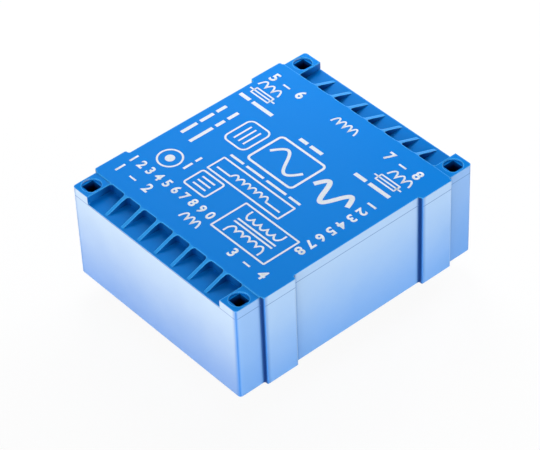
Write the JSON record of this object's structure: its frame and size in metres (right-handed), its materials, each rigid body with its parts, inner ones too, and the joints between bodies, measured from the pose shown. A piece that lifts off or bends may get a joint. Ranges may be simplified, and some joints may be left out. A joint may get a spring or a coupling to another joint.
{
  "type": "pcb transformer",
  "caption": "Flat encapsulated mains transformer for a circuit board: blue moulded housing with a row of pockets at each end, square screw holes in its corners and solder pins below.",
  "frame": {"origin": "middle of the pin pattern, at the level of the housing's lower rim, which sits on the board", "axes": "+X from the primary end to the secondary end, +Z away from the board towards the printed face"},
  "size_m": [0.053, 0.044, 0.0237],
  "materials": {
    "housing_plastic": "satin blue glass-filled plastic, moulded",
    "potting_compound": "cast black resin, smooth",
    "core_steel": "rolled silicon steel sheet, annealed",
    "former_plastic": "natural white moulded plastic",
    "copper_wire": "enamelled copper wire",
    "insulating_tape": "yellow polyester tape",
    "tinned_metal": "bright tinned"
  },
  "bodies": {
    "root": {"housing": "housing_plastic", "potting": "potting_compound", "u_sheets": "core_steel", "i_sheets": "core_steel", "primary_former": "former_plastic", "secondary_former": "former_plastic", "primary_winding_a": "copper_wire", "primary_winding_b": "copper_wire", "secondary_winding_a": "copper_wire", "secondary_winding_b": "copper_wire", "primary_tapes": "insulating_tape", "secondary_tapes": "insulating_tape", "primary_leads": "copper_wire", "secondary_leads": "copper_wire", "solder_joints": "tinned_metal", "pin_1": "tinned_metal", "pin_2": "tinned_metal", "pin_3": "tinned_metal", "pin_4": "tinned_metal", "pin_5": "tinned_metal", "pin_6": "tinned_metal", "pin_7": "tinned_metal", "pin_8": "tinned_metal"}
  },
  "joints": []
}
